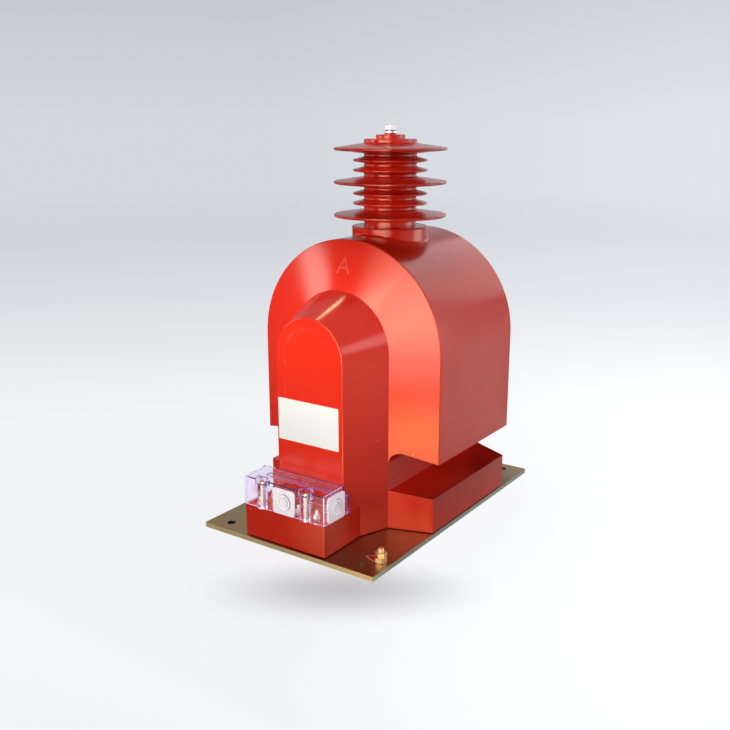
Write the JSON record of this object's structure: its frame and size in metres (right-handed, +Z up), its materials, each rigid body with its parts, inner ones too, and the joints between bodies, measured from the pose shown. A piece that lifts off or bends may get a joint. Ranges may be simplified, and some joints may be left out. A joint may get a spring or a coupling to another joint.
{
  "type": "cast resin voltage transformer",
  "caption": "Red cast-resin voltage transformer for outdoor switchgear: arched winding block, shedded bushing, boxed secondary terminals and earth stud on a drilled steel plate.",
  "frame": {"origin": "centre of the base plate's underside", "axes": "+Z up through the bushing, -Y out of the front where the terminal cover is, +X to the right seen from the front"},
  "size_m": [0.352, 0.53, 0.6548],
  "materials": {
    "cast_resin": "glossy red cast resin, smooth from the mould",
    "zinc_plate": "yellow passivated zinc on sheet steel, iridescent, with fine scratches",
    "core_steel": "wound strip of core steel, edges lapped grey",
    "band_steel": "bright strapping steel",
    "insulating_board": "tan laminated board",
    "copper_winding": "enamelled copper wire in layers",
    "copper_foil": "bare copper",
    "brass_turned": "turned brass",
    "nickel_steel": "bright nickel-plated steel",
    "spring_steel": "dark spring steel",
    "dark_steel": "zinc-plated steel",
    "lead_insulation": "black sleeved wire",
    "clear_plastic": "clear moulded plastic, faint violet at the edges",
    "frosted_plastic": "frosted white soft plastic",
    "nameplate_metal": "satin sheet, left blank"
  },
  "bodies": {
    "root": {"resin_body": "cast_resin", "core_front_half": "core_steel", "core_rear_half": "core_steel", "core_band": "band_steel", "coil_former": "insulating_board", "measuring_coil": "copper_winding", "metering_coil": "copper_winding", "residual_coil": "copper_winding", "primary_coil": "copper_winding", "primary_shield": "copper_foil", "hv_lead": "copper_foil", "hv_insert": "brass_turned", "hv_washer": "nickel_steel", "hv_spring_washer": "spring_steel", "hv_bolt": "nickel_steel", "terminal_studs": "brass_turned", "terminal_lower_nuts": "brass_turned", "terminal_washers": "brass_turned", "terminal_upper_nuts": "brass_turned", "secondary_leads": "lead_insulation", "terminal_cover": "clear_plastic", "cable_entry_plugs": "frosted_plastic", "cover_screws": "brass_turned", "cover_inserts": "brass_turned", "nameplate": "nameplate_metal", "body_inserts": "brass_turned", "body_screws": "dark_steel", "base_plate": "zinc_plate", "earth_stud": "brass_turned", "earth_lock_nut": "brass_turned", "earth_clamp_nut": "brass_turned"}
  },
  "joints": []
}
